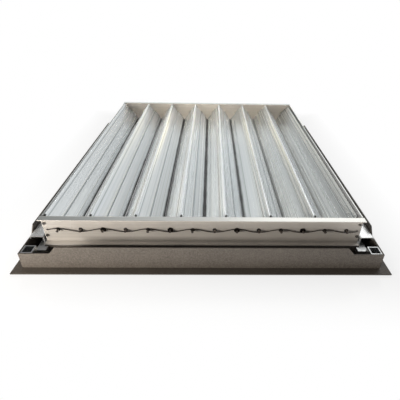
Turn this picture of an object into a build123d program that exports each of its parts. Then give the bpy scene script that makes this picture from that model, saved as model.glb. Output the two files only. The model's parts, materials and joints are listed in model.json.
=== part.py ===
from build123d import *
import os
from math import atan, cos, radians, sin

# Opposed blade damper standing in a flanged mounting frame that lies on its face.
# The origin is at the middle of the face: X runs across the blades, Y along them and Z up.

# Mounting frame
neck_width = 500.0
neck_length = 600.0
flange_reach = 12.0
flange_thickness = 2.4
flange_bevel = 0.8
neck_wall = 1.6
groove_width = 22.8
wall_height = 27.5
fin_rise = 11.0
notch_length = 42.0
rear_notch_length = 111.0
notch_slant = 10.0
shelf_height = 20.5
shelf_reach = 8.5

# Corner keys and side strips of the mounting frame
key_size = 15.6
key_wall = 1.6
key_drop = 0.3
key_clearance = 0.3
key_leg_width = 8.6
key_leg_length = 26.0
key_toe_length = 12.0
strip_sheet = 1.5
strip_width = 20.1
strip_gap = 15.5

# Damper rails, set in from the outside of the neck by these margins
side_margin = 24.0
end_margin = 26.0
rail_height = 44.0
rail_sheet = 1.5
rail_flange = 9.0
rail_bend = 1.2
side_inset = 1.2
foot_width = 8.0
port_diameter = 5.4
port_inset = 2.2
port_offset = 10.4

# Corner screws, driven through the end rails into the ports of the side rails
screw_diameter = 3.0
screw_head = 4.8
screw_head_height = 1.5
screw_length = 16.0
screw_clearance = 0.3
recess_length = 2.8
recess_width = 0.9
recess_depth = 1.0

# Blades
blade_count = 14
closed_angle = 52.0
blade_web = 1.3
edge_gap = 0.9
side_gap = 0.6
end_gap = 3.0
bead_diameter = 7.0
band_rise = 1.45
band_end = 13.6
lip_rise = 1.9
lip_length = 1.6
lip_thickness = 1.2

# Pivots and bushes
pivot_diameter = 3.0
pivot_depth = 14.0
pivot_reach = 5.0
pin_fit = 0.02
running_clearance = 0.06
bush_diameter = 6.0
bush_flange_diameter = 8.6
bush_flange = 2.2

# Retaining clips and friction wire on the front rail
clip_diameter = 8.0
clip_thickness = 0.8
clip_mouth = 2.2
clip_gap = 0.3
wire_diameter = 1.2
wire_gap = 0.4
wire_hole_clearance = 0.2
wire_blend = 0.4
wire_end_bend = 1.4

# Cranks, drive bar and its guide studs on the rear rail
crank_radius = 9.0
crank_width = 5.0
crank_sheet = 1.5
crank_gap = 0.5
crank_pin_diameter = 2.5
crank_pin_reach = 1.0
slot_clearance = 0.3
bar_sheet = 1.2
bar_gap = 0.5
bar_border = 4.5
stud_diameter = 4.0
stud_head = 8.0
stud_head_height = 1.2
stud_gap = 0.4
finger_width = 12.0
finger_drop = 3.0
finger_inset = 11.0
finger_end = 8.0
window_clearance = 1.0

# Places that follow from the sizes above
overall_width = neck_width + 2 * flange_reach
overall_length = neck_length + 2 * flange_reach
fin_top = wall_height + fin_rise
groove_end = neck_wall + groove_width
shelf_start = groove_end + neck_wall
shelf_end = shelf_start + shelf_reach
damper_width = neck_width - 2 * side_margin
damper_length = neck_length - 2 * end_margin
rail_top = shelf_height + rail_height
pivot_height = shelf_height + rail_height / 2
plate_face = damper_length / 2 - rail_flange
plate_back = plate_face - rail_sheet
inside_width = damper_width - 2 * (side_inset + rail_sheet)
blade_length = 2 * (plate_back - end_gap)
closed = radians(closed_angle)
lip_overlap = lip_rise * cos(closed) + lip_length - edge_gap
pitch = (inside_width - 2 * (lip_overlap + side_gap)) / blade_count
short_half = (pitch / 2 - edge_gap) / cos(closed)
long_half = short_half + lip_rise
band_top = blade_web / 2 + band_rise
first_pivot = -pitch * (blade_count - 1) / 2
pivot_places = [first_pivot + pitch * index for index in range(blade_count)]
peak_places = [first_pivot + pitch * (2 * index - 0.5) for index in range(blade_count // 2 + 1)]
crank_tilt = (90 - closed_angle) / 2
bar_travel = 2 * crank_radius * sin(radians(crank_tilt))
bar_face = plate_face + crank_gap + crank_sheet + bar_gap
port_place = inside_width / 2 + rail_sheet - port_inset
screw_places = [
    (x_side * port_place, pivot_height + z_side * port_offset)
    for x_side in (-1, 1)
    for z_side in (-1, 1)
]


def keep(piece, name):
    """Names a finished piece and writes it."""
    piece.label = name
    export_step(piece, f"parts/{name}.step")


def across(y):
    """The upright plane at y, whose own axes are the model's X and Z."""
    return Plane.XZ.offset(-y)


def lean(index):
    """1 for a blade that falls to the right, -1 for one that rises to the right."""
    return 1 if index % 2 == 0 else -1


def frame_member(profile_plane, run, outline, notch_plane, half_neck, notches):
    """One mitred side of the mounting frame, with its fin cut away near both ends."""
    foot = flange_thickness
    with BuildPart() as member:
        with BuildSketch(profile_plane):
            with BuildLine():
                Polyline(
                    (flange_bevel - flange_reach, 0),
                    (shelf_start, 0),
                    (shelf_start, shelf_height - neck_wall),
                    (shelf_end, shelf_height - neck_wall),
                    (shelf_end, shelf_height),
                    (groove_end, shelf_height),
                    (groove_end, foot),
                    (neck_wall, foot),
                    (neck_wall, fin_top),
                    (0, fin_top),
                    (0, foot),
                    (-flange_reach, foot),
                    (-flange_reach, flange_bevel),
                    close=True,
                )
            make_face()
        extrude(amount=run)
        with BuildSketch(Plane.XY):
            Polygon(*outline, align=None)
        extrude(amount=fin_top, mode=Mode.INTERSECT)
        with BuildSketch(notch_plane):
            for side, notch in zip((-1, 1), notches):
                with BuildLine():
                    Polyline(
                        (side * (half_neck + flange_reach), wall_height),
                        (side * (half_neck - notch), wall_height),
                        (side * (half_neck - notch - notch_slant), fin_top),
                        (side * (half_neck + flange_reach), fin_top),
                        close=True,
                    )
                make_face()
        extrude(amount=neck_wall, both=True, mode=Mode.SUBTRACT)
    return member.part


def mirrored(piece, plane):
    """The same piece on the other side of a plane."""
    with BuildPart() as other:
        mirror(piece, about=plane)
    return other.part


def end_rail(side):
    """Front (-1) or rear (1) rail: an outward channel with bush and screw holes."""
    with BuildPart() as rail:
        start = (-side * damper_width / 2, side * plate_face, 0)
        with BuildSketch(Plane(origin=start, x_dir=(0, side, 0), z_dir=(side, 0, 0))) as section:
            with BuildLine():
                Polyline(
                    (-rail_sheet, shelf_height),
                    (rail_flange, shelf_height),
                    (rail_flange, shelf_height + rail_sheet),
                    (0, shelf_height + rail_sheet),
                    (0, rail_top - rail_sheet),
                    (rail_flange, rail_top - rail_sheet),
                    (rail_flange, rail_top),
                    (-rail_sheet, rail_top),
                    close=True,
                )
            make_face()
            fillet(section.vertices().group_by(Axis.X)[0], radius=rail_bend)
        extrude(amount=damper_width)
        with BuildSketch(across(side * plate_face)):
            with Locations(*[(x, pivot_height) for x in pivot_places]):
                Circle(bush_diameter / 2 + pin_fit)
            with Locations(*screw_places):
                Circle((screw_diameter + screw_clearance) / 2)
        extrude(amount=rail_sheet, both=True, mode=Mode.SUBTRACT)
    return rail.part


def bush_row(side):
    """The flanged bushes of one rail, flange inwards."""
    places = [(x, pivot_height) for x in pivot_places]
    with BuildPart() as row:
        with BuildSketch(across(side * plate_back)):
            with Locations(*places):
                Circle(bush_flange_diameter / 2)
        extrude(amount=side * bush_flange)
        with BuildSketch(across(side * plate_back)):
            with Locations(*places):
                Circle(bush_diameter / 2)
        extrude(amount=-side * rail_sheet)
        with BuildSketch(across(side * plate_back)):
            with Locations(*places):
                Circle(pivot_diameter / 2 + running_clearance)
        extrude(amount=rail_sheet + bush_flange, both=True, mode=Mode.SUBTRACT)
    return row.part


def blade(index):
    """One extruded blade: a web that steps up over its pivot bead, with a hooked long edge."""
    x_axis = (cos(closed), 0, -lean(index) * sin(closed))
    origin = (pivot_places[index], blade_length / 2, pivot_height)
    with BuildPart() as extrusion:
        with BuildSketch(Plane(origin=origin, x_dir=x_axis, z_dir=(0, -1, 0))):
            Circle(bead_diameter / 2)
            with Locations((0, band_top)):
                Rectangle(bead_diameter, bead_diameter, align=(Align.CENTER, Align.MIN), mode=Mode.SUBTRACT)
                Rectangle(band_end, blade_web, align=(Align.MIN, Align.MAX))
            with Locations((band_end, band_top)):
                Rectangle(blade_web, band_rise + blade_web, align=(Align.MAX, Align.MAX))
            with Locations((short_half, 0)):
                Rectangle(short_half - band_end + blade_web, blade_web, align=(Align.MAX, Align.CENTER))
            Rectangle(long_half, blade_web, align=(Align.MAX, Align.CENTER))
            with Locations((-long_half, 0)):
                Rectangle(lip_length, lip_thickness, rotation=closed_angle, align=(Align.MAX, Align.CENTER))
                Circle(blade_web / 2)
            Circle(pivot_diameter / 2 + pin_fit, mode=Mode.SUBTRACT)
        extrude(amount=blade_length)
    return extrusion.part


def blade_pivots(index):
    """A blade's plain front pin and its rear crank, both pressed into the bead."""
    x = pivot_places[index]
    tilt = radians(crank_tilt)
    crank_place = (x - crank_radius * sin(tilt), pivot_height + lean(index) * crank_radius * cos(tilt))
    arm_middle = ((x + crank_place[0]) / 2, (pivot_height + crank_place[1]) / 2)
    arm_face = plate_face + crank_gap
    seat = blade_length / 2 - pivot_depth
    with BuildPart() as pair:
        with BuildSketch(across(-seat)):
            with Locations((x, pivot_height)):
                Circle(pivot_diameter / 2)
        extrude(amount=plate_face + pivot_reach - seat)
        with BuildSketch(across(seat)):
            with Locations((x, pivot_height)):
                Circle(pivot_diameter / 2)
        extrude(amount=seat - arm_face)
        with BuildSketch(across(arm_face)):
            with Locations(arm_middle):
                SlotCenterToCenter(crank_radius, crank_width, rotation=lean(index) * (90 + crank_tilt))
        extrude(amount=-crank_sheet)
        with BuildSketch(across(arm_face + crank_sheet)):
            with Locations(crank_place):
                Circle(crank_pin_diameter / 2)
        extrude(amount=-(bar_gap + bar_sheet + crank_pin_reach))
    return pair.part


def retaining_clip(index):
    """A snap ring on a front pin, open downwards."""
    with BuildPart() as ring:
        with BuildSketch(across(-plate_face - clip_gap)):
            with Locations((pivot_places[index], pivot_height)):
                Circle(clip_diameter / 2)
                Circle(pivot_diameter / 2 + pin_fit, mode=Mode.SUBTRACT)
                Rectangle(clip_mouth, clip_diameter, align=(Align.CENTER, Align.MAX), mode=Mode.SUBTRACT)
        extrude(amount=clip_thickness)
    return ring.part


os.makedirs("parts", exist_ok=True)

# Mounting frame: four mitred sides of one section
half_width = overall_width / 2
half_length = overall_length / 2
mitre_depth = flange_reach + shelf_end
front_member = frame_member(
    Plane(origin=(-half_width, -neck_length / 2, 0), x_dir=(0, 1, 0), z_dir=(1, 0, 0)),
    overall_width,
    [
        (-half_width, -half_length),
        (half_width, -half_length),
        (half_width - mitre_depth, mitre_depth - half_length),
        (mitre_depth - half_width, mitre_depth - half_length),
    ],
    across(-neck_length / 2),
    neck_width / 2,
    (notch_length, notch_length),
)
right_member = frame_member(
    Plane(origin=(neck_width / 2, -half_length, 0), x_dir=(-1, 0, 0), z_dir=(0, 1, 0)),
    overall_length,
    [
        (half_width, -half_length),
        (half_width, half_length),
        (half_width - mitre_depth, half_length - mitre_depth),
        (half_width - mitre_depth, mitre_depth - half_length),
    ],
    Plane.YZ.offset(neck_width / 2),
    neck_length / 2,
    (notch_length, rear_notch_length),
)
keep(front_member, "frame_front")
keep(right_member, "frame_right")
keep(mirrored(front_member, Plane.XZ), "frame_rear")
keep(mirrored(right_member, Plane.YZ), "frame_left")

# Corner keys: a hollow square post with a short toe and a long leg that lie in the groove
post_middle = neck_wall + key_clearance + key_size / 2
post_edge = post_middle + key_size / 2
leg_middle = groove_end - key_clearance - key_leg_width / 2
leg_run = key_wall + key_leg_length
toe_run = key_wall + key_toe_length
leg_centre = post_edge - key_wall + leg_run / 2
toe_centre = post_edge - key_wall + toe_run / 2
with BuildPart() as corner_key:
    with BuildSketch(Plane.XY.offset(flange_thickness)):
        with Locations((neck_width / 2 - post_middle, post_middle - neck_length / 2)):
            Rectangle(key_size, key_size)
    extrude(amount=wall_height - key_drop - flange_thickness)
    with BuildSketch(Plane.XY.offset(flange_thickness)):
        with Locations((neck_width / 2 - toe_centre, leg_middle - neck_length / 2)):
            Rectangle(toe_run, key_leg_width)
        with Locations((neck_width / 2 - leg_middle, leg_centre - neck_length / 2)):
            Rectangle(key_leg_width, leg_run)
    extrude(amount=shelf_height - flange_thickness)
    with BuildSketch(Plane.XY.offset(flange_thickness)):
        with Locations((neck_width / 2 - post_middle, post_middle - neck_length / 2)):
            Rectangle(key_size - 2 * key_wall, key_size - 2 * key_wall)
    extrude(amount=wall_height, mode=Mode.SUBTRACT)
left_key = mirrored(corner_key.part, Plane.YZ)
keep(corner_key.part, "corner_key_front_right")
keep(left_key, "corner_key_front_left")
keep(mirrored(corner_key.part, Plane.XZ), "corner_key_rear_right")
keep(mirrored(left_key, Plane.XZ), "corner_key_rear_left")

# Side strips: bent covers over the side grooves, standing on the legs of the corner keys
strip_start = post_edge + strip_gap
strip_outer = neck_wall + key_clearance
strip_inner = strip_outer + strip_width
strip_origin = (neck_width / 2, strip_start - neck_length / 2, 0)
with BuildPart() as side_strip:
    with BuildSketch(Plane(origin=strip_origin, x_dir=(-1, 0, 0), z_dir=(0, 1, 0))):
        with BuildLine():
            Polyline(
                (strip_outer, wall_height - strip_sheet),
                (strip_inner - strip_sheet, wall_height - strip_sheet),
                (strip_inner - strip_sheet, shelf_height),
                (strip_inner, shelf_height),
                (strip_inner, wall_height),
                (strip_outer, wall_height),
                close=True,
            )
        make_face()
    extrude(amount=neck_length - 2 * strip_start)
keep(side_strip.part, "side_strip_right")
keep(mirrored(side_strip.part, Plane.YZ), "side_strip_left")

# Front rail, with the two holes that take the ends of the friction wire
wire_stand = clip_gap + clip_thickness + wire_gap + wire_diameter / 2
wire_ends = (peak_places[0], peak_places[-1])
with BuildPart() as front_rail:
    add(end_rail(-1))
    with BuildSketch(across(-plate_face)):
        with Locations(*[(x, pivot_height) for x in wire_ends]):
            Circle(wire_diameter / 2 + wire_hole_clearance)
    extrude(amount=rail_sheet, both=True, mode=Mode.SUBTRACT)
keep(front_rail.part, "front_rail")

# Rear rail, with a window for the bar's finger and holes for the guide studs
finger_peak = peak_places[len(peak_places) // 2]
finger_place = finger_peak - bar_travel / 2
finger_level = pivot_height - crank_radius - bar_border - finger_drop
stud_places = [(x, pivot_height) for x in peak_places[1:-1:2]]
with BuildPart() as rear_rail:
    add(end_rail(1))
    with BuildSketch(across(plate_face)):
        with Locations((finger_peak, finger_level + bar_sheet / 2)):
            Rectangle(finger_width + bar_travel + 2 * window_clearance, bar_sheet + 2 * window_clearance)
        with Locations(*stud_places):
            Circle(stud_diameter / 2 + pin_fit)
    extrude(amount=rail_sheet, both=True, mode=Mode.SUBTRACT)
keep(rear_rail.part, "rear_rail")

# Side rails: one extrusion with a foot on the shelf and two screw ports
wall_outside = inside_width / 2 + rail_sheet
with BuildPart() as right_rail:
    with BuildSketch(across(plate_back)):
        with Locations((wall_outside, shelf_height)):
            Rectangle(rail_sheet, rail_height, align=(Align.MAX, Align.MIN))
            Rectangle(foot_width, rail_sheet, align=(Align.MAX, Align.MIN))
        with Locations(*[place for place in screw_places if place[0] > 0]):
            Circle(port_diameter / 2)
            Circle(screw_diameter / 2 + pin_fit, mode=Mode.SUBTRACT)
    extrude(amount=2 * plate_back)
keep(right_rail.part, "right_rail")
keep(mirrored(right_rail.part, Plane.YZ), "left_rail")

# Corner screws with a cross recess in a round head
with BuildPart() as corner_screws:
    for side in (-1, 1):
        with BuildSketch(across(side * plate_face)):
            with Locations(*screw_places):
                Circle(screw_head / 2)
        extrude(amount=-side * screw_head_height, taper=20)
        with BuildSketch(across(side * plate_face)):
            with Locations(*screw_places):
                Circle(screw_diameter / 2)
        extrude(amount=side * screw_length)
        with BuildSketch(across(side * (plate_face + screw_head_height))):
            with Locations(*screw_places):
                Rectangle(recess_length, recess_width)
                Rectangle(recess_width, recess_length)
        extrude(amount=side * recess_depth, mode=Mode.SUBTRACT)
keep(corner_screws.part, "corner_screws")

# Bushes
keep(bush_row(-1), "front_bushes")
keep(bush_row(1), "rear_bushes")

# Blades with their pivots, and a retaining clip on every third one
for index in range(blade_count):
    number = f"{index + 1:02d}"
    keep(blade(index), f"blade_{number}")
    keep(blade_pivots(index), f"blade_{number}_pivots")
for index in range(2, blade_count, 3):
    keep(retaining_clip(index), f"retaining_clip_{index + 1:02d}")

# Friction wire: woven over and under the front pins, with both ends hooked into the rail
wire_rise = (pivot_diameter / 2 + wire_gap + wire_diameter / 2) / (1 - wire_blend)
wire_slope = atan(2 * wire_rise / pitch)
wire_bend = wire_blend * pitch / sin(wire_slope)
wire_y = -plate_face - wire_stand
wire_points = [(wire_ends[0], -plate_back, pivot_height), (wire_ends[0], wire_y, pivot_height)]
for index, x in enumerate(pivot_places):
    wire_points.append((x, wire_y, pivot_height + lean(index) * wire_rise))
wire_points.append((wire_ends[1], wire_y, pivot_height))
wire_points.append((wire_ends[1], -plate_back, pivot_height))
wire_bends = [wire_end_bend] + [wire_bend] * blade_count + [wire_end_bend]
with BuildPart() as friction_wire:
    with BuildLine() as wire_path:
        FilletPolyline(*wire_points, radius=wire_bends)
    with BuildSketch(Plane(origin=wire_path.line @ 0, z_dir=wire_path.line % 0)):
        Circle(wire_diameter / 2)
    sweep()
keep(friction_wire.part, "friction_wire")

# Drive bar: a slotted strip with a finger that reaches into the throat
slot_rise = crank_radius * (1 - cos(radians(crank_tilt)))
slot_width = crank_pin_diameter + 2 * slot_clearance
slot_level = crank_radius - slot_rise / 2
stud_slot = stud_diameter + 2 * slot_clearance
bar_length = pitch * blade_count - 2 * bar_border
bar_height = 2 * (crank_radius + bar_border)
finger_face = plate_back - finger_inset
with BuildPart() as drive_bar:
    with BuildSketch(across(bar_face)):
        with Locations((-bar_travel / 2, pivot_height)):
            Rectangle(bar_length, bar_height)
        with Locations((finger_place, finger_level)):
            Rectangle(finger_width, bar_border + finger_drop, align=(Align.CENTER, Align.MIN))
        for index, x in enumerate(pivot_places):
            with Locations((x - bar_travel / 2, pivot_height + lean(index) * slot_level)):
                SlotOverall(slot_width + slot_rise, slot_width, rotation=90, mode=Mode.SUBTRACT)
        with Locations(*[(x - bar_travel / 2, z) for x, z in stud_places]):
            SlotOverall(stud_slot + bar_travel, stud_slot, mode=Mode.SUBTRACT)
    extrude(amount=-bar_sheet)
    with BuildSketch(Plane.XY.offset(finger_level)):
        with Locations((finger_place, finger_face)):
            Rectangle(finger_width, bar_face + bar_sheet - finger_face, align=(Align.CENTER, Align.MIN))
    extrude(amount=bar_sheet)
    with BuildSketch(across(finger_face)):
        with Locations((finger_place, finger_end)):
            Rectangle(finger_width, finger_level + bar_sheet - finger_end, align=(Align.CENTER, Align.MIN))
    extrude(amount=-bar_sheet)
keep(drive_bar.part, "drive_bar")

# Guide studs that carry the drive bar
stud_face = bar_face + bar_sheet + stud_gap
with BuildPart() as guide_studs:
    with BuildSketch(across(plate_back)):
        with Locations(*stud_places):
            Circle(stud_diameter / 2)
    extrude(amount=plate_back - stud_face)
    with BuildSketch(across(stud_face)):
        with Locations(*stud_places):
            Circle(stud_head / 2)
    extrude(amount=-stud_head_height)
keep(guide_studs.part, "guide_studs")
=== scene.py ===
import json
import math

import bmesh
import bpy
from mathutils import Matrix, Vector


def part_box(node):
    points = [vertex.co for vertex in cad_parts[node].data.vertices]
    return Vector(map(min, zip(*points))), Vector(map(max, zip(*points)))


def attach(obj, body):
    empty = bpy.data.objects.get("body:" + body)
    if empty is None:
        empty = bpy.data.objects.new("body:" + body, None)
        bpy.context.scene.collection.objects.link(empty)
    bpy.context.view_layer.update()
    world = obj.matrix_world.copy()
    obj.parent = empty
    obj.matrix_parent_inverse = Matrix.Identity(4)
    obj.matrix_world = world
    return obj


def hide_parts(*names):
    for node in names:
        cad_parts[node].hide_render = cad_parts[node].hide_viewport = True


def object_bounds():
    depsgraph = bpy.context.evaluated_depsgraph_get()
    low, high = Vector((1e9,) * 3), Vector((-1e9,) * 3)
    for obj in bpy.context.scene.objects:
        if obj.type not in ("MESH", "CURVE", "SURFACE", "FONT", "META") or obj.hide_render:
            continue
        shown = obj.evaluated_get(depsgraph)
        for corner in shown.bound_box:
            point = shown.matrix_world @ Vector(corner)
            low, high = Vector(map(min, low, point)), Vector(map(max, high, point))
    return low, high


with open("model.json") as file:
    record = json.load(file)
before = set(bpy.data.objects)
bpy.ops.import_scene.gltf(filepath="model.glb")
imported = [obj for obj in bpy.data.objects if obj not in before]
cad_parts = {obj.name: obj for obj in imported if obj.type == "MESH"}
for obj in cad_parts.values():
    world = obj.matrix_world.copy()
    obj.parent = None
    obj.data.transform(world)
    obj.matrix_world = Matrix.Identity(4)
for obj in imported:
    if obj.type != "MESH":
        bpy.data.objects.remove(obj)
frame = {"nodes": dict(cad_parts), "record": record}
cad_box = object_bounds()
scene = bpy.context.scene

BLADE_COUNT = 14
BLADE_PITCH = 31.5472e-3
PIVOT_HEIGHT = 0.0425


# Building blocks for node trees

def place(tree, kind, inputs=None, **properties):
    """A node of that kind, with its properties and its unlinked inputs set."""
    made = tree.nodes.new(kind)
    for name, value in properties.items():
        setattr(made, name, value)
    for socket, value in (inputs or {}).items():
        made.inputs[socket].default_value = value
    return made


def math_node(tree, operation, first, second=None, clamp=False):
    """A Math node whose inputs are sockets or numbers. Returns its output."""
    made = place(tree, "ShaderNodeMath", operation=operation, use_clamp=clamp)
    for index, value in enumerate((first, second)):
        if isinstance(value, bpy.types.NodeSocket):
            tree.links.new(value, made.inputs[index])
        elif value is not None:
            made.inputs[index].default_value = value
    return made.outputs[0]


def blend_colour(tree, factor, first, second):
    """A colour Mix node between two sockets or colours. Returns its output."""
    made = place(tree, "ShaderNodeMix", data_type="RGBA")
    for index, value in ((0, factor), (6, first), (7, second)):
        if isinstance(value, bpy.types.NodeSocket):
            tree.links.new(value, made.inputs[index])
        else:
            made.inputs[index].default_value = value
    return made.outputs[2]


def spread(tree, value, low, high, start, end):
    """Maps low..high of a value onto start..end. Returns the output."""
    made = place(tree, "ShaderNodeMapRange", {1: low, 2: high, 3: start, 4: end})
    tree.links.new(value, made.inputs[0])
    return made.outputs[0]


def noise(tree, vector, scale, detail=4.0, roughness=0.55, shift=(0.0, 0.0, 0.0)):
    """Noise over a vector that is shifted first. Returns the factor output."""
    mapping = place(tree, "ShaderNodeMapping", {"Location": shift})
    tree.links.new(vector, mapping.inputs["Vector"])
    made = place(tree, "ShaderNodeTexNoise", {"Detail": detail, "Roughness": roughness})
    tree.links.new(mapping.outputs[0], made.inputs["Vector"])
    if isinstance(scale, bpy.types.NodeSocket):
        tree.links.new(scale, made.inputs["Scale"])
    else:
        made.inputs["Scale"].default_value = scale
    return made.outputs[0]


def parts_of(tree, vector):
    """The X, Y and Z outputs of a vector."""
    made = place(tree, "ShaderNodeSeparateXYZ")
    tree.links.new(vector, made.inputs[0])
    return made.outputs


def facing_up(tree):
    """How far a face points upwards, from -1 to 1."""
    return parts_of(tree, place(tree, "ShaderNodeNewGeometry").outputs["Normal"])["Z"]


def share(tree, mask, amount):
    """A mask held back to a share of its strength."""
    return math_node(tree, "MULTIPLY", mask, amount)


def product(tree, *factors):
    """The product of several values."""
    total = factors[0]
    for factor in factors[1:]:
        total = math_node(tree, "MULTIPLY", total, factor)
    return total


def shader_group(name, inputs, outputs):
    """An empty shader node group with named sockets. Returns the tree, its input and its output node."""
    tree = bpy.data.node_groups.new(name, "ShaderNodeTree")
    for socket, kind, value in inputs:
        made = tree.interface.new_socket(socket, in_out="INPUT", socket_type=kind)
        if value is not None:
            made.default_value = value
    for socket, kind in outputs:
        tree.interface.new_socket(socket, in_out="OUTPUT", socket_type=kind)
    return tree, tree.nodes.new("NodeGroupInput"), tree.nodes.new("NodeGroupOutput")


def use_group(tree, group, **values):
    """A group placed in a material, with its inputs set to numbers or linked to sockets."""
    made = place(tree, "ShaderNodeGroup", node_tree=group)
    for name, value in values.items():
        socket = made.inputs[name.replace("_", " ").title()]
        if isinstance(value, bpy.types.NodeSocket):
            tree.links.new(value, socket)
        else:
            socket.default_value = value
    return made


# Effects that several finishes share

def make_die_lines():
    """Lines that a die or a roll leaves along the metal, from hairlines to hand-wide streaks."""
    tree, given, result = shader_group(
        "die_lines",
        [("Vector", "NodeSocketVector", None), ("Hairlines", "NodeSocketFloat", 1600.0),
         ("Streaks", "NodeSocketFloat", 220.0)],
        [("Hairline", "NodeSocketFloat"), ("Streak", "NodeSocketFloat"), ("Cloud", "NodeSocketFloat")],
    )
    vector = given.outputs["Vector"]
    hairline = noise(tree, vector, given.outputs["Hairlines"], detail=3.0, roughness=0.7)
    streak = noise(tree, vector, given.outputs["Streaks"], detail=5.0, roughness=0.6, shift=(3.1, 0.7, 1.9))
    cloud = noise(tree, vector, 26.0, detail=3.0, shift=(7.3, 2.2, 4.1))
    tree.links.new(hairline, result.inputs["Hairline"])
    tree.links.new(spread(tree, streak, 0.32, 0.68, 0.0, 1.0), result.inputs["Streak"])
    tree.links.new(spread(tree, cloud, 0.34, 0.66, 0.0, 1.0), result.inputs["Cloud"])
    return tree


def make_handling():
    """Smudges, fine scratches and settled dust from storing and carrying."""
    tree, given, result = shader_group(
        "handling",
        [("Vector", "NodeSocketVector", None)],
        [("Smudge", "NodeSocketFloat"), ("Scratch", "NodeSocketFloat"), ("Dust", "NodeSocketFloat")],
    )
    vector = given.outputs["Vector"]
    smudge = noise(tree, vector, 16.0, detail=6.0, roughness=0.62)
    tree.links.new(spread(tree, smudge, 0.48, 0.72, 0.0, 1.0), result.inputs["Smudge"])
    wander = place(tree, "ShaderNodeVectorMath", operation="MULTIPLY_ADD")
    turbulence = place(tree, "ShaderNodeTexNoise", {"Scale": 9.0, "Detail": 2.0})
    tree.links.new(vector, turbulence.inputs["Vector"])
    tree.links.new(turbulence.outputs["Color"], wander.inputs[0])
    wander.inputs[1].default_value = (0.05, 0.05, 0.05)
    tree.links.new(vector, wander.inputs[2])
    cells = place(tree, "ShaderNodeTexVoronoi", {"Scale": 34.0}, feature="DISTANCE_TO_EDGE")
    tree.links.new(wander.outputs[0], cells.inputs["Vector"])
    patches = noise(tree, vector, 40.0, detail=2.0, shift=(1.7, 5.0, 0.3))
    line = spread(tree, cells.outputs["Distance"], 0.0, 0.012, 1.0, 0.0)
    broken = spread(tree, patches, 0.52, 0.62, 0.0, 1.0)
    tree.links.new(math_node(tree, "MULTIPLY", line, broken), result.inputs["Scratch"])
    specks = noise(tree, vector, 900.0, detail=2.0, shift=(0.4, 8.1, 2.6))
    tree.links.new(spread(tree, specks, 0.62, 0.74, 0.0, 1.0), result.inputs["Dust"])
    return tree


def make_worn_edge():
    """A rounded normal and a mask along sharp edges, broken up by noise."""
    tree, given, result = shader_group(
        "worn_edge",
        [("Vector", "NodeSocketVector", None), ("Radius", "NodeSocketFloat", 0.0006),
         ("Broken", "NodeSocketFloat", 0.5)],
        [("Edge", "NodeSocketFloat"), ("Normal", "NodeSocketVector")],
    )
    rounded = place(tree, "ShaderNodeBevel", samples=6)
    tree.links.new(given.outputs["Radius"], rounded.inputs["Radius"])
    geometry = place(tree, "ShaderNodeNewGeometry")
    turn = place(tree, "ShaderNodeVectorMath", operation="DOT_PRODUCT")
    tree.links.new(rounded.outputs[0], turn.inputs[0])
    tree.links.new(geometry.outputs["Normal"], turn.inputs[1])
    edge = spread(tree, turn.outputs["Value"], 0.995, 0.86, 0.0, 1.0)
    rub_and_highlight = noise(tree, given.outputs["Vector"], 240.0, detail=4.0)
    gaps = math_node(tree, "SUBTRACT", 1.0, math_node(tree, "MULTIPLY", rub_and_highlight, given.outputs["Broken"]), clamp=True)
    tree.links.new(math_node(tree, "MULTIPLY", edge, gaps, clamp=True), result.inputs["Edge"])
    tree.links.new(rounded.outputs[0], result.inputs["Normal"])
    return tree


die_lines = make_die_lines()
handling = make_handling()
worn_edge = make_worn_edge()


# Finishes

def start_finish(name):
    """A new material with an empty tree, its Principled shader and its Object coordinates."""
    material = bpy.data.materials.new(name)
    material.use_nodes = True
    tree = material.node_tree
    tree.nodes.clear()
    shader = place(tree, "ShaderNodeBsdfPrincipled")
    output = place(tree, "ShaderNodeOutputMaterial")
    tree.links.new(shader.outputs[0], output.inputs["Surface"])
    coordinates = place(tree, "ShaderNodeTexCoord").outputs["Object"]
    return material, tree, shader, coordinates


def stretched(tree, coordinates, scale):
    """Object coordinates drawn out along one axis."""
    mapping = place(tree, "ShaderNodeMapping", {"Scale": scale})
    tree.links.new(coordinates, mapping.inputs["Vector"])
    return mapping.outputs[0]


def bump(tree, height, strength, distance, normal=None):
    """A Bump node over a height. Returns its normal."""
    made = place(tree, "ShaderNodeBump", {"Strength": strength, "Distance": distance})
    tree.links.new(height, made.inputs["Height"])
    if normal is not None:
        tree.links.new(normal, made.inputs["Normal"])
    return made.outputs[0]


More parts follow.
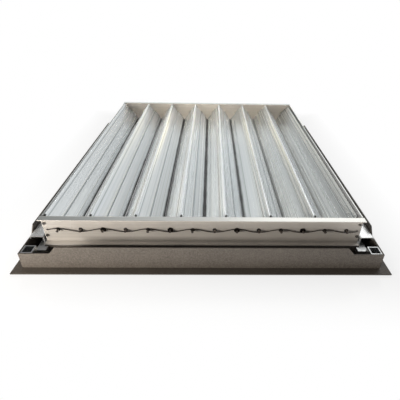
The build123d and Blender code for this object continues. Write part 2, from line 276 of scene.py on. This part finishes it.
def drawn_aluminium(name, light, dark, along, roughness=(0.20, 0.34), metallic=1.0, painted_top_highlight=False):
    """Mill finish aluminium whose lines run along one axis, with a painted highlight on the upward faces at the top
    of a rail.
    """
    bare = (0.86, 0.87, 0.88, 1.0)
    material, tree, shader, coordinates = start_finish(name)
    shader.inputs["Metallic"].default_value = metallic
    drawn = stretched(tree, coordinates, tuple(0.003 if axis == along else 1.0 for axis in "XYZ"))
    lines = use_group(tree, die_lines, vector=drawn)
    wear = use_group(tree, handling, vector=coordinates)
    edges = use_group(tree, worn_edge, vector=coordinates, radius=0.0005, broken=0.6)
    tone = blend_colour(tree, lines.outputs["Streak"], dark, light)
    tone = blend_colour(tree, share(tree, lines.outputs["Cloud"], 0.30), tone, (0.62, 0.66, 0.70, 1.0))
    tone = blend_colour(tree, share(tree, wear.outputs["Smudge"], 0.22), tone, (0.46, 0.45, 0.42, 1.0))
    rough = spread(tree, lines.outputs["Streak"], 0.0, 1.0, roughness[1], roughness[0])
    # Painted highlight: upward faces near the top of a rail are made lighter, and also smoother and more metallic.
    if painted_top_highlight:
        high = spread(tree, parts_of(tree, coordinates)["Z"], 0.050, 0.060, 0.0, 1.0)
        rub_and_highlight = math_node(tree, "MULTIPLY", spread(tree, facing_up(tree), 0.6, 0.9, 0.0, 1.0), high)
        tone = blend_colour(tree, share(tree, rub_and_highlight, 0.7), tone, (0.82, 0.84, 0.82, 1.0))
        rough = math_node(tree, "MULTIPLY", rough, spread(tree, rub_and_highlight, 0.0, 1.0, 1.0, 0.6))
        if metallic < 1.0:
            tree.links.new(spread(tree, rub_and_highlight, 0.0, 1.0, metallic, 1.0), shader.inputs["Metallic"])
    tone = blend_colour(tree, share(tree, wear.outputs["Scratch"], 0.35), tone, bare)
    tone = blend_colour(tree, share(tree, edges.outputs["Edge"], 0.6), tone, bare)
    tree.links.new(tone, shader.inputs["Base Color"])
    rough = math_node(tree, "ADD", rough, share(tree, wear.outputs["Smudge"], 0.10))
    rough = math_node(tree, "ADD", rough, share(tree, wear.outputs["Dust"], 0.08), clamp=True)
    tree.links.new(rough, shader.inputs["Roughness"])
    ridges = math_node(tree, "ADD", lines.outputs["Hairline"], share(tree, lines.outputs["Streak"], 0.5))
    tree.links.new(bump(tree, ridges, 0.05, 0.0002, edges.outputs["Normal"]), shader.inputs["Normal"])
    return material


def blade_finish(name, light, dark, painted_step_lines):
    """Mill finish of a blade: long die lines, painted shade and highlight lines at the steps of its web and painted
    shade along the valley.
    """
    shade_bottom, shade_top = 0.0260, 0.0292
    mark_core, mark_edge = 0.0003, 0.0008
    material, tree, shader, coordinates = start_finish(name)
    shader.inputs["Metallic"].default_value = 0.62
    drawn = stretched(tree, coordinates, (1.0, 0.0003, 1.0))
    lines = use_group(tree, die_lines, vector=drawn, hairlines=420.0, streaks=140.0)
    wear = use_group(tree, handling, vector=stretched(tree, coordinates, (0.6, 0.02, 0.6)))
    across, _, height = parts_of(tree, coordinates)
    tone = blend_colour(tree, lines.outputs["Streak"], dark, light)
    tone = blend_colour(tree, share(tree, lines.outputs["Cloud"], 0.30), tone, (0.80, 0.86, 0.93, 1.0))
    tone = blend_colour(tree, share(tree, wear.outputs["Smudge"], 0.22), tone, (0.74, 0.74, 0.69, 1.0))
    fine = spread(tree, lines.outputs["Hairline"], 0.36, 0.48, 0.38, 0.0)
    tone = blend_colour(tree, fine, tone, (0.36, 0.37, 0.36, 1.0))
    # Painted shade and painted highlight: thin dark and light lines at the heights of the web's steps.
    for level, colour in painted_step_lines:
        away = math_node(tree, "ABSOLUTE", math_node(tree, "SUBTRACT", height, level))
        tone = blend_colour(tree, spread(tree, away, mark_core, mark_edge, 0.75, 0.0), tone, colour)
    uneven = share(tree, noise(tree, coordinates, 30.0, detail=1.0), 0.002)
    # Painted shade: the valley low on each blade is darkened to near black, less towards the right.
    valley_shade = spread(tree, math_node(tree, "ADD", height, uneven), shade_bottom, shade_top, 0.95, 0.0)
    valley_shade = math_node(tree, "MULTIPLY", valley_shade, spread(tree, across, 0.02, 0.16, 1.0, 0.35))
    tone = blend_colour(tree, valley_shade, tone, (0.035, 0.037, 0.036, 1.0))
    tree.links.new(tone, shader.inputs["Base Color"])
    rough = spread(tree, lines.outputs["Streak"], 0.0, 1.0, 0.30, 0.18)
    rough = math_node(tree, "ADD", rough, share(tree, wear.outputs["Smudge"], 0.10), clamp=True)
    tree.links.new(rough, shader.inputs["Roughness"])
    tree.links.new(bump(tree, lines.outputs["Streak"], 0.02, 0.0002), shader.inputs["Normal"])
    return material


def textured_coat(name, colour, dark, light):
    """Powder coat with a fine pebbled skin, worn along its edges, with painted shade on the flange and upward faces.
    """
    flange_level, shade_end = 0.0022, 0.0030
    material, tree, shader, coordinates = start_finish(name)
    pebbles = place(tree, "ShaderNodeTexVoronoi", {"Scale": 620.0, "Randomness": 1.0}, feature="SMOOTH_F1")
    tree.links.new(coordinates, pebbles.inputs["Vector"])
    grain = noise(tree, coordinates, 1500.0, detail=3.0)
    mottle = noise(tree, coordinates, 300.0, detail=4.0, roughness=0.65)
    wear = use_group(tree, handling, vector=coordinates)
    edges = use_group(tree, worn_edge, vector=coordinates, radius=0.0007, broken=1.2)
    tone = blend_colour(tree, spread(tree, mottle, 0.36, 0.64, 0.0, 1.0), dark, colour)
    tone = blend_colour(tree, spread(tree, pebbles.outputs["Distance"], 0.5, 0.1, 0.0, 0.55), tone, light)
    tone = blend_colour(tree, share(tree, wear.outputs["Smudge"], 0.25), tone, light)
    tone = blend_colour(tree, share(tree, edges.outputs["Edge"], 0.22), tone, (0.42, 0.39, 0.36, 1.0))
    # Painted shade: the flange face low down and all upward faces are darkened towards near black.
    low = spread(tree, parts_of(tree, coordinates)["Z"], flange_level, shade_end, 0.7, 0.0)
    painted_shade = math_node(tree, "MAXIMUM", spread(tree, facing_up(tree), 0.5, 0.9, 0.0, 0.6), low)
    tone = blend_colour(tree, painted_shade, tone, (0.045, 0.038, 0.030, 1.0))
    tree.links.new(tone, shader.inputs["Base Color"])
    tree.links.new(share(tree, edges.outputs["Edge"], 0.12), shader.inputs["Metallic"])
    tree.links.new(spread(tree, mottle, 0.3, 0.7, 0.46, 0.62), shader.inputs["Roughness"])
    skin = math_node(tree, "ADD", pebbles.outputs["Distance"], share(tree, grain, 0.5))
    tree.links.new(bump(tree, skin, 0.45, 0.0005, edges.outputs["Normal"]), shader.inputs["Normal"])
    return material


def small_steel(name, colour, dark, roughness, edge_colour):
    """Wire and small stamped parts: drawn steel with a mottled plating or oil coating."""
    material, tree, shader, coordinates = start_finish(name)
    shader.inputs["Metallic"].default_value = 1.0
    mottle = noise(tree, coordinates, 420.0, detail=5.0, roughness=0.65)
    wear = use_group(tree, handling, vector=coordinates)
    edges = use_group(tree, worn_edge, vector=coordinates, radius=0.0003, broken=0.8)
    tone = blend_colour(tree, spread(tree, mottle, 0.34, 0.66, 0.0, 1.0), dark, colour)
    tone = blend_colour(tree, share(tree, edges.outputs["Edge"], 0.5), tone, edge_colour)
    tree.links.new(tone, shader.inputs["Base Color"])
    rough = spread(tree, mottle, 0.3, 0.7, roughness[0], roughness[1])
    rough = math_node(tree, "ADD", rough, share(tree, wear.outputs["Smudge"], 0.08), clamp=True)
    tree.links.new(rough, shader.inputs["Roughness"])
    tree.links.new(bump(tree, mottle, 0.15, 0.0001, edges.outputs["Normal"]), shader.inputs["Normal"])
    return material


def moulded_nylon(name, colour, light):
    """Nylon with a fine spark-eroded skin."""
    material, tree, shader, coordinates = start_finish(name)
    skin = noise(tree, coordinates, 2600.0, detail=3.0)
    wear = use_group(tree, handling, vector=coordinates)
    tone = blend_colour(tree, spread(tree, skin, 0.3, 0.7, 0.0, 0.6), colour, light)
    tone = blend_colour(tree, share(tree, wear.outputs["Dust"], 0.3), tone, (0.3, 0.29, 0.27, 1.0))
    tree.links.new(tone, shader.inputs["Base Color"])
    tree.links.new(spread(tree, skin, 0.3, 0.7, 0.42, 0.6), shader.inputs["Roughness"])
    tree.links.new(bump(tree, skin, 0.2, 0.0001), shader.inputs["Normal"])
    return material


# Colours of the painted shade and painted highlight lines at the blades' web steps.
step_painted_shade = (0.28, 0.31, 0.32, 1.0)
step_painted_highlight = (0.98, 0.97, 0.92, 1.0)
# Lit and shaded copies of one blade aluminium: the rising blades' darker base colour is painted shade.
lit_falling_blade = blade_finish(
    "falling_blade_aluminium", (0.92, 0.94, 0.95, 1.0), (0.82, 0.84, 0.85, 1.0),
    ((0.0331, step_painted_shade), (0.0340, step_painted_highlight), (0.0461, step_painted_shade), (0.0470, step_painted_highlight), (0.0600, step_painted_shade)))
shaded_rising_blade = blade_finish(
    "rising_blade_aluminium", (0.88, 0.89, 0.86, 1.0), (0.68, 0.69, 0.66, 1.0),
    ((0.0345, step_painted_shade), (0.0404, step_painted_shade), (0.0413, step_painted_highlight), (0.0536, step_painted_shade), (0.0545, step_painted_highlight),
     (0.0580, step_painted_shade)))
end_rail_finish = drawn_aluminium(
    "end_rail_aluminium", (0.78, 0.73, 0.67, 1.0), (0.66, 0.61, 0.55, 1.0), "X",
    roughness=(0.42, 0.55), metallic=0.5, painted_top_highlight=True)
rear_rail_finish = drawn_aluminium(
    "rear_rail_aluminium", (0.80, 0.73, 0.64, 1.0), (0.68, 0.61, 0.53, 1.0), "X",
    roughness=(0.36, 0.48), metallic=0.5, painted_top_highlight=True)
side_rail_finish = drawn_aluminium(
    "side_rail_aluminium", (0.70, 0.68, 0.65, 1.0), (0.54, 0.52, 0.49, 1.0), "Y",
    roughness=(0.30, 0.46), painted_top_highlight=True)
strip_finish = drawn_aluminium(
    "strip_aluminium", (0.94, 0.95, 0.95, 1.0), (0.86, 0.87, 0.87, 1.0), "Y", metallic=0.75)
key_finish = drawn_aluminium(
    "key_aluminium", (0.80, 0.81, 0.81, 1.0), (0.64, 0.65, 0.65, 1.0), "Z", roughness=(0.34, 0.5))
coat_finish = textured_coat(
    "taupe_coat", (0.136, 0.119, 0.102, 1.0), (0.086, 0.074, 0.063, 1.0), (0.204, 0.180, 0.156, 1.0))
spring_finish = small_steel(
    "spring_steel", (0.10, 0.085, 0.075, 1.0), (0.035, 0.03, 0.027, 1.0), (0.36, 0.55), (0.28, 0.25, 0.22, 1.0))
pivot_finish = small_steel(
    "pivot_steel", (0.30, 0.27, 0.24, 1.0), (0.15, 0.13, 0.115, 1.0), (0.34, 0.5), (0.5, 0.47, 0.43, 1.0))
zinc_finish = small_steel(
    "zinc_steel", (0.62, 0.62, 0.60, 1.0), (0.44, 0.44, 0.42, 1.0), (0.3, 0.46), (0.78, 0.78, 0.76, 1.0))
screw_finish = small_steel(
    "screw_steel", (0.42, 0.39, 0.36, 1.0), (0.24, 0.22, 0.20, 1.0), (0.3, 0.45), (0.66, 0.63, 0.59, 1.0))
nylon_finish = moulded_nylon("black_nylon", (0.018, 0.018, 0.018, 1.0), (0.05, 0.05, 0.05, 1.0))
natural_nylon = moulded_nylon("natural_nylon", (0.50, 0.46, 0.39, 1.0), (0.62, 0.57, 0.49, 1.0))

slot_finish = {
    "strip_aluminium": strip_finish,
    "key_aluminium": key_finish,
    "frame_coat": coat_finish,
    "spring_steel": spring_finish,
    "pivot_steel": pivot_finish,
    "zinc_steel": zinc_finish,
    "screw_steel": screw_finish,
    "nylon": nylon_finish,
}
node_finish = {
    "front_rail": end_rail_finish,
    "rear_rail": rear_rail_finish,
    "left_rail": side_rail_finish,
    "right_rail": side_rail_finish,
    "rear_bushes": natural_nylon,
}
for number in range(1, BLADE_COUNT + 1):
    node_finish["blade_%02d" % number] = lit_falling_blade if number % 2 else shaded_rising_blade
for part in frame["record"]["subparts"]:
    node = frame["nodes"][part["node"]]
    node.data.materials.clear()
    node.data.materials.append(node_finish.get(part["node"]) or slot_finish[part["material_slot"]])


# Pieces that the solids leave plain

def make_rounded_end():
    """A short round length from Start to End that domes over towards each end."""
    tree = bpy.data.node_groups.new("rounded_end", "GeometryNodeTree")
    tree.interface.new_socket("Geometry", in_out="OUTPUT", socket_type="NodeSocketGeometry")
    for name, kind in (("Start", "NodeSocketVector"), ("End", "NodeSocketVector"), ("Radius", "NodeSocketFloat"),
                       ("Tail", "NodeSocketFloat"), ("Nose", "NodeSocketFloat"), ("Finish", "NodeSocketMaterial")):
        tree.interface.new_socket(name, in_out="INPUT", socket_type=kind)
    given = tree.nodes.new("NodeGroupInput")
    result = tree.nodes.new("NodeGroupOutput")
    line = place(tree, "GeometryNodeCurvePrimitiveLine")
    tree.links.new(given.outputs["Start"], line.inputs["Start"])
    tree.links.new(given.outputs["End"], line.inputs["End"])
    rings = place(tree, "GeometryNodeResampleCurve", {"Count": 13})
    tree.links.new(line.outputs[0], rings.inputs["Curve"])
    along = place(tree, "GeometryNodeSplineParameter").outputs["Factor"]
    tail = math_node(tree, "SUBTRACT", 1.0, math_node(tree, "DIVIDE", along, given.outputs["Tail"]), clamp=True)
    back = math_node(tree, "SUBTRACT", 1.0, along)
    nose = math_node(tree, "SUBTRACT", 1.0, math_node(tree, "DIVIDE", back, given.outputs["Nose"]), clamp=True)
    curve = math_node(tree, "ADD", math_node(tree, "POWER", tail, 2.0), math_node(tree, "POWER", nose, 2.0))
    girth = math_node(tree, "SQRT", math_node(tree, "SUBTRACT", 1.0, math_node(tree, "MULTIPLY", curve, 0.94)))
    section = place(tree, "GeometryNodeCurvePrimitiveCircle", {"Resolution": 20})
    tree.links.new(given.outputs["Radius"], section.inputs["Radius"])
    skin = place(tree, "GeometryNodeCurveToMesh", {"Fill Caps": True})
    tree.links.new(rings.outputs[0], skin.inputs["Curve"])
    tree.links.new(section.outputs[0], skin.inputs["Profile Curve"])
    tree.links.new(girth, skin.inputs["Scale"])
    whole = place(tree, "GeometryNodeRealizeInstances")
    tree.links.new(skin.outputs[0], whole.inputs[0])
    dressed = place(tree, "GeometryNodeSetMaterial")
    tree.links.new(whole.outputs[0], dressed.inputs["Geometry"])
    tree.links.new(given.outputs["Finish"], dressed.inputs["Material"])
    tree.links.new(dressed.outputs[0], result.inputs[0])
    return tree


def add_rounded_end(name, body, slot, **values):
    """One rounded end, made a plain mesh and set on the body that carries it."""
    mould = bpy.data.objects.new("mould", bpy.data.meshes.new("mould"))
    scene.collection.objects.link(mould)
    modifier = mould.modifiers.new("rounded_end", "NODES")
    modifier.node_group = rounded_end
    for socket in rounded_end.interface.items_tree:
        if socket.in_out == "INPUT":
            modifier[socket.identifier] = values[socket.name.lower()]
    made = mould.evaluated_get(bpy.context.evaluated_depsgraph_get())
    mesh = bpy.data.meshes.new_from_object(made)
    bpy.data.objects.remove(mould)
    finish_piece(name, mesh, body)


def finish_piece(name, mesh, body):
    """Points the faces outwards, smooths them between sharp edges and sets the piece on its body."""
    shell = bmesh.new()
    shell.from_mesh(mesh)
    bmesh.ops.remove_doubles(shell, verts=shell.verts, dist=1e-6)
    bmesh.ops.recalc_face_normals(shell, faces=shell.faces)
    shell.to_mesh(mesh)
    shell.free()
    mesh.shade_smooth()
    mesh.set_sharp_from_angle(angle=math.radians(40))
    piece = bpy.data.objects.new(name, mesh)
    scene.collection.objects.link(piece)
    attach(piece, body)
    return piece


def add_blade_ends():
    """A peened head on each front pivot and a nylon cap on the front end of each top edge."""
    for number in range(1, BLADE_COUNT + 1):
        blade = "blade_%02d" % number
        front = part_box(blade + "_pivots")[0].y
        pin = Vector((BLADE_PITCH * (number - (BLADE_COUNT + 1) / 2), front, PIVOT_HEIGHT))
        add_rounded_end(
            blade + "_pin_head", blade + "_body", "pivot_steel", start=pin + Vector((0.0, 0.0002, 0.0)),
            end=pin - Vector((0.0, 0.0010, 0.0)), radius=0.0019, tail=0.2, nose=0.7, finish=pivot_finish)
        last = number == BLADE_COUNT
        if number % 2 or last:
            low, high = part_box(blade)
            edge = high.x - 0.0016 if last else low.x + 0.0018
            seat = Vector((edge, low.y, high.z - 0.0010))
            add_rounded_end(
                blade + "_edge_cap", blade + "_body", "nylon", start=seat + Vector((0.0, 0.0030, 0.0)),
                end=seat - Vector((0.0, 0.0016, 0.0)), radius=0.0017, tail=0.3, nose=0.35, finish=nylon_finish)


def add_strip_covers():
    """Bent sheet covers over the side grooves, with a rounded bend along each side of the flat top."""
    inner, outer, top, sheet, bend = 0.2280, 0.2481, 0.0310, 0.0015, 0.0024
    foot_inner, foot_outer, reach = 0.0205, 0.0260, 0.2670
    left, right, level = inner + bend, outer - bend, top - bend
    tight = bend - sheet
    quarter = [(math.cos(turn), math.sin(turn)) for turn in (math.radians(18 * step) for step in range(6))]
    outside = [(inner, foot_inner)]
    outside += [(left - bend * far, level + bend * near) for far, near in quarter]
    outside += [(right + bend * near, level + bend * far) for far, near in quarter]
    outside += [(outer, foot_outer)]
    inside = [(outer - sheet, foot_outer)]
    inside += [(right + tight * far, level + tight * near) for far, near in quarter]
    inside += [(left - tight * near, level + tight * far) for far, near in quarter]
    inside += [(inner + sheet, foot_inner)]
    section = outside + inside
    count = len(section)
    half = len(outside)
    for side, name in ((1, "right"), (-1, "left")):
        points = [(side * x, y, z) for y in (-reach, reach) for x, z in section]
        faces = [(i, (i + 1) % count, count + (i + 1) % count, count + i) for i in range(count)]
        for end in (0, count):
            faces += [(end + i, end + i + 1, end + count - 2 - i, end + count - 1 - i) for i in range(half - 1)]
        mesh = bpy.data.meshes.new("strip_cover_" + name)
        mesh.from_pydata(points, [], faces)
        mesh.materials.append(strip_finish)
        cover = finish_piece("strip_cover_" + name, mesh, "frame")
        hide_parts("side_strip_" + name)


rounded_end = make_rounded_end()
add_blade_ends()
add_strip_covers()


# Floor

def make_floor():
    """A wide pale floor just under the face of the part, white but for the soft shadow close to the part."""
    half, level = 40.0, cad_box[0][2] - 0.0004
    corners = [(-half, -half, level), (half, -half, level), (half, half, level), (-half, half, level)]
    mesh = bpy.data.meshes.new("floor")
    mesh.from_pydata(corners, [], [(0, 1, 2, 3)])
    floor = bpy.data.objects.new("floor", mesh)
    scene.collection.objects.link(floor)
    material, tree, shader, coordinates = start_finish("pale_floor")
    shader.inputs["Base Color"].default_value = (0.9, 0.9, 0.9, 1.0)
    shader.inputs["Roughness"].default_value = 0.9
    shader.inputs["Specular IOR Level"].default_value = 0.0
    ground = parts_of(tree, coordinates)
    beside = math_node(tree, "SUBTRACT", math_node(tree, "ABSOLUTE", ground["X"]), cad_box[1][0])
    beyond = math_node(tree, "SUBTRACT", math_node(tree, "ABSOLUTE", ground["Y"]), cad_box[1][1])
    whiteness = spread(tree, math_node(tree, "MAXIMUM", beside, beyond), 0.0, 0.09, 0.76, 1.0)
    rays = place(tree, "ShaderNodeLightPath")
    seen = math_node(tree, "MULTIPLY", rays.outputs["Is Camera Ray"], whiteness)
    seen = math_node(tree, "ADD", seen, rays.outputs["Is Glossy Ray"])
    seen = math_node(tree, "ADD", seen, rays.outputs["Is Transmission Ray"], clamp=True)
    white = place(tree, "ShaderNodeEmission", {"Color": (1.0, 1.0, 1.0, 1.0), "Strength": 1.0})
    mixed = place(tree, "ShaderNodeMixShader")
    tree.links.new(seen, mixed.inputs[0])
    tree.links.new(shader.outputs[0], mixed.inputs[1])
    tree.links.new(white.outputs[0], mixed.inputs[2])
    output = next(node for node in tree.nodes if node.type == "OUTPUT_MATERIAL")
    tree.links.new(mixed.outputs[0], output.inputs["Surface"])
    mesh.materials.append(material)


# Light: a pale room with its windows behind the part, brightest to the back right

def light_room():
    """A sky of soft bands, which is white where it is seen directly."""
    world = bpy.data.worlds.new("pale_room")
    scene.world = world
    world.use_nodes = True
    tree = world.node_tree
    tree.nodes.clear()
    across, depth, height = parts_of(tree, place(tree, "ShaderNodeTexCoord").outputs["Generated"])
    sideways = math_node(tree, "ABSOLUTE", across)
    behind = spread(tree, depth, 0.0, 0.6, 0.0, 1.0)
    front = spread(tree, depth, -0.2, 0.6, 0.16, 0.0)
    low = product(
        tree, behind, spread(tree, height, 0.42, 0.58, 1.0, 0.0), spread(tree, across, -0.6, -0.2, 0.2, 1.05),
        spread(tree, across, -0.05, 0.3, 1.0, 0.65))
    high = product(
        tree, behind, spread(tree, height, 0.42, 0.58, 0.0, 1.0), spread(tree, height, 0.42, 0.65, 0.3, 1.0),
        spread(tree, across, -0.42, 0.42, 0.18, 1.2))
    glow = product(
        tree, behind, spread(tree, height, -0.03, 0.02, 0.0, 3.0), spread(tree, height, 0.05, 0.10, 1.0, 0.0),
        spread(tree, sideways, 0.24, 0.30, 0.0, 1.0), spread(tree, sideways, 0.42, 0.48, 1.0, 0.0))
    bands = (
        (glow, (1.0, 0.86, 0.52, 1.0)),
        (front, (1.0, 0.98, 0.95, 1.0)),
        (low, (0.94, 0.98, 1.0, 1.0)),
        (high, (1.0, 1.0, 1.0, 1.0)),
    )
    total = None
    for strength, colour in bands:
        sky = place(tree, "ShaderNodeBackground", {"Color": colour})
        tree.links.new(strength, sky.inputs["Strength"])
        if total is None:
            total = sky.outputs[0]
        else:
            both = place(tree, "ShaderNodeAddShader")
            tree.links.new(total, both.inputs[0])
            tree.links.new(sky.outputs[0], both.inputs[1])
            total = both.outputs[0]
    rays = place(tree, "ShaderNodeLightPath")
    white = place(tree, "ShaderNodeBackground", {"Color": (1.0, 1.0, 1.0, 1.0), "Strength": 1.0})
    seen = place(tree, "ShaderNodeMixShader")
    tree.links.new(rays.outputs["Is Camera Ray"], seen.inputs[0])
    tree.links.new(total, seen.inputs[1])
    tree.links.new(white.outputs[0], seen.inputs[2])
    output = place(tree, "ShaderNodeOutputWorld")
    tree.links.new(seen.outputs[0], output.inputs["Surface"])


def add_lamp(name, kind, energy, location, target, mirrored=True, **settings):
    """A lamp at a place, turned towards a target, and seen or not seen in shiny metal."""
    lamp = bpy.data.lights.new(name, kind)
    lamp.energy = energy
    for key, value in settings.items():
        setattr(lamp, key, value)
    holder = bpy.data.objects.new(name, lamp)
    scene.collection.objects.link(holder)
    holder.visible_glossy = mirrored
    holder.location = location
    holder.rotation_euler = (Vector(target) - Vector(location)).to_track_quat("-Z", "Y").to_euler()


def set_camera():
    """A camera at the photograph's place."""
    camera = bpy.data.objects.new("camera", bpy.data.cameras.new("camera"))
    scene.collection.objects.link(camera)
    camera.data.lens = 30.15
    camera.data.sensor_width = 36.0
    camera.data.shift_x = -0.0426
    camera.data.clip_start = 0.01
    camera.location = (0.0084, -0.64453, 0.336)
    camera.rotation_euler = [math.radians(angle) for angle in (57.39, -1.007, -0.83)]
    scene.camera = camera


make_floor()
light_room()
add_lamp("window", "SUN", 0.22, (0.7, 1.2, 1.1), (0.0, 0.0, 0.0), angle=math.radians(40), color=(1.0, 0.97, 0.93))
add_lamp(
    "front_left", "AREA", 7.0, (-0.62, -0.66, 0.175), (-0.2, -0.28, 0.05), mirrored=False,
    shape="RECTANGLE", size=0.3, size_y=0.12, color=(1.0, 0.94, 0.86))
add_lamp(
    "rear_fill", "AREA", 0.30, (-0.15, -0.5, 0.9), (0.0, 0.27, 0.055), mirrored=False,
    shape="RECTANGLE", size=0.3, size_y=0.1, spread=math.radians(24), color=(1.0, 0.93, 0.82))
for name, energy, side in (("back_left", 0.34, -1), ("back_right", 0.55, 1)):
    add_lamp(
        name, "AREA", energy, (0.55 * side, 0.95, 0.85), (0.0, -0.15, 0.05), mirrored=False,
        shape="SQUARE", size=0.4, spread=math.radians(26), color=(0.96, 0.99, 1.0))
set_camera()
scene.view_settings.view_transform = "Standard"
